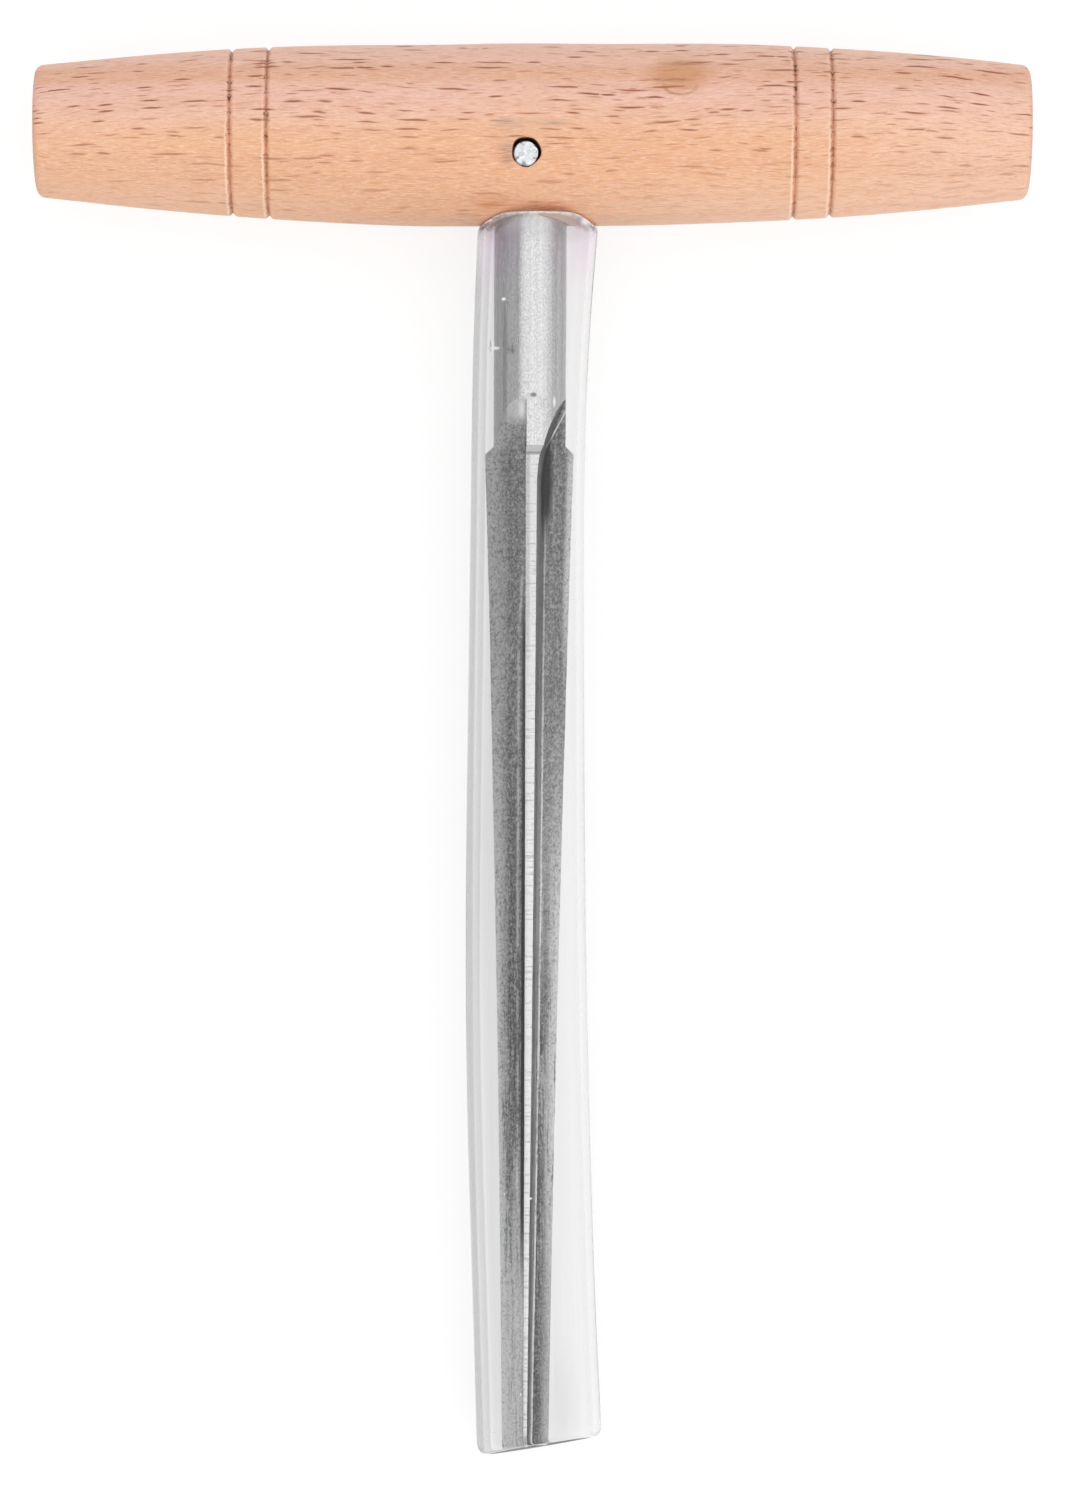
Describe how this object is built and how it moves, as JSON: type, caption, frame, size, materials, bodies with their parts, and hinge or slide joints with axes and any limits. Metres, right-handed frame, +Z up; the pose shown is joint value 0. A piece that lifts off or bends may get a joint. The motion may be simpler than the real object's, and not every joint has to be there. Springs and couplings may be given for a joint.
{
  "type": "peg reamer",
  "caption": "Hand reamer for tapered peg holes: turned wooden cross handle, fluted steel cutter pinned into it, and a clear pull-off plastic sleeve.",
  "frame": {"origin": "where the handle's axis crosses the cutter's axis, at the middle of the grip", "axes": "handle along X, cutter along Y with its tip towards -Y, +Z up from the bench on which the tool lies"},
  "size_m": [0.1, 0.1423, 0.0184],
  "materials": {
    "beech": "turned and sanded beech, thinly sealed",
    "tool_steel": "ground tool steel",
    "pin_steel": "cut steel pin, hammered in",
    "clear_sleeve": "clear soft plastic tube, lightly scuffed"
  },
  "bodies": {
    "tool": {"handle": "beech", "reamer": "tool_steel", "cross_pin": "pin_steel"},
    "guard": {"sleeve": "clear_sleeve"}
  },
  "joints": [
    {"name": "sleeve_slide", "type": "slide", "parent": "tool", "child": "guard", "axis": [0, -1, 0], "range_m": [0, 0.126]}
  ]
}
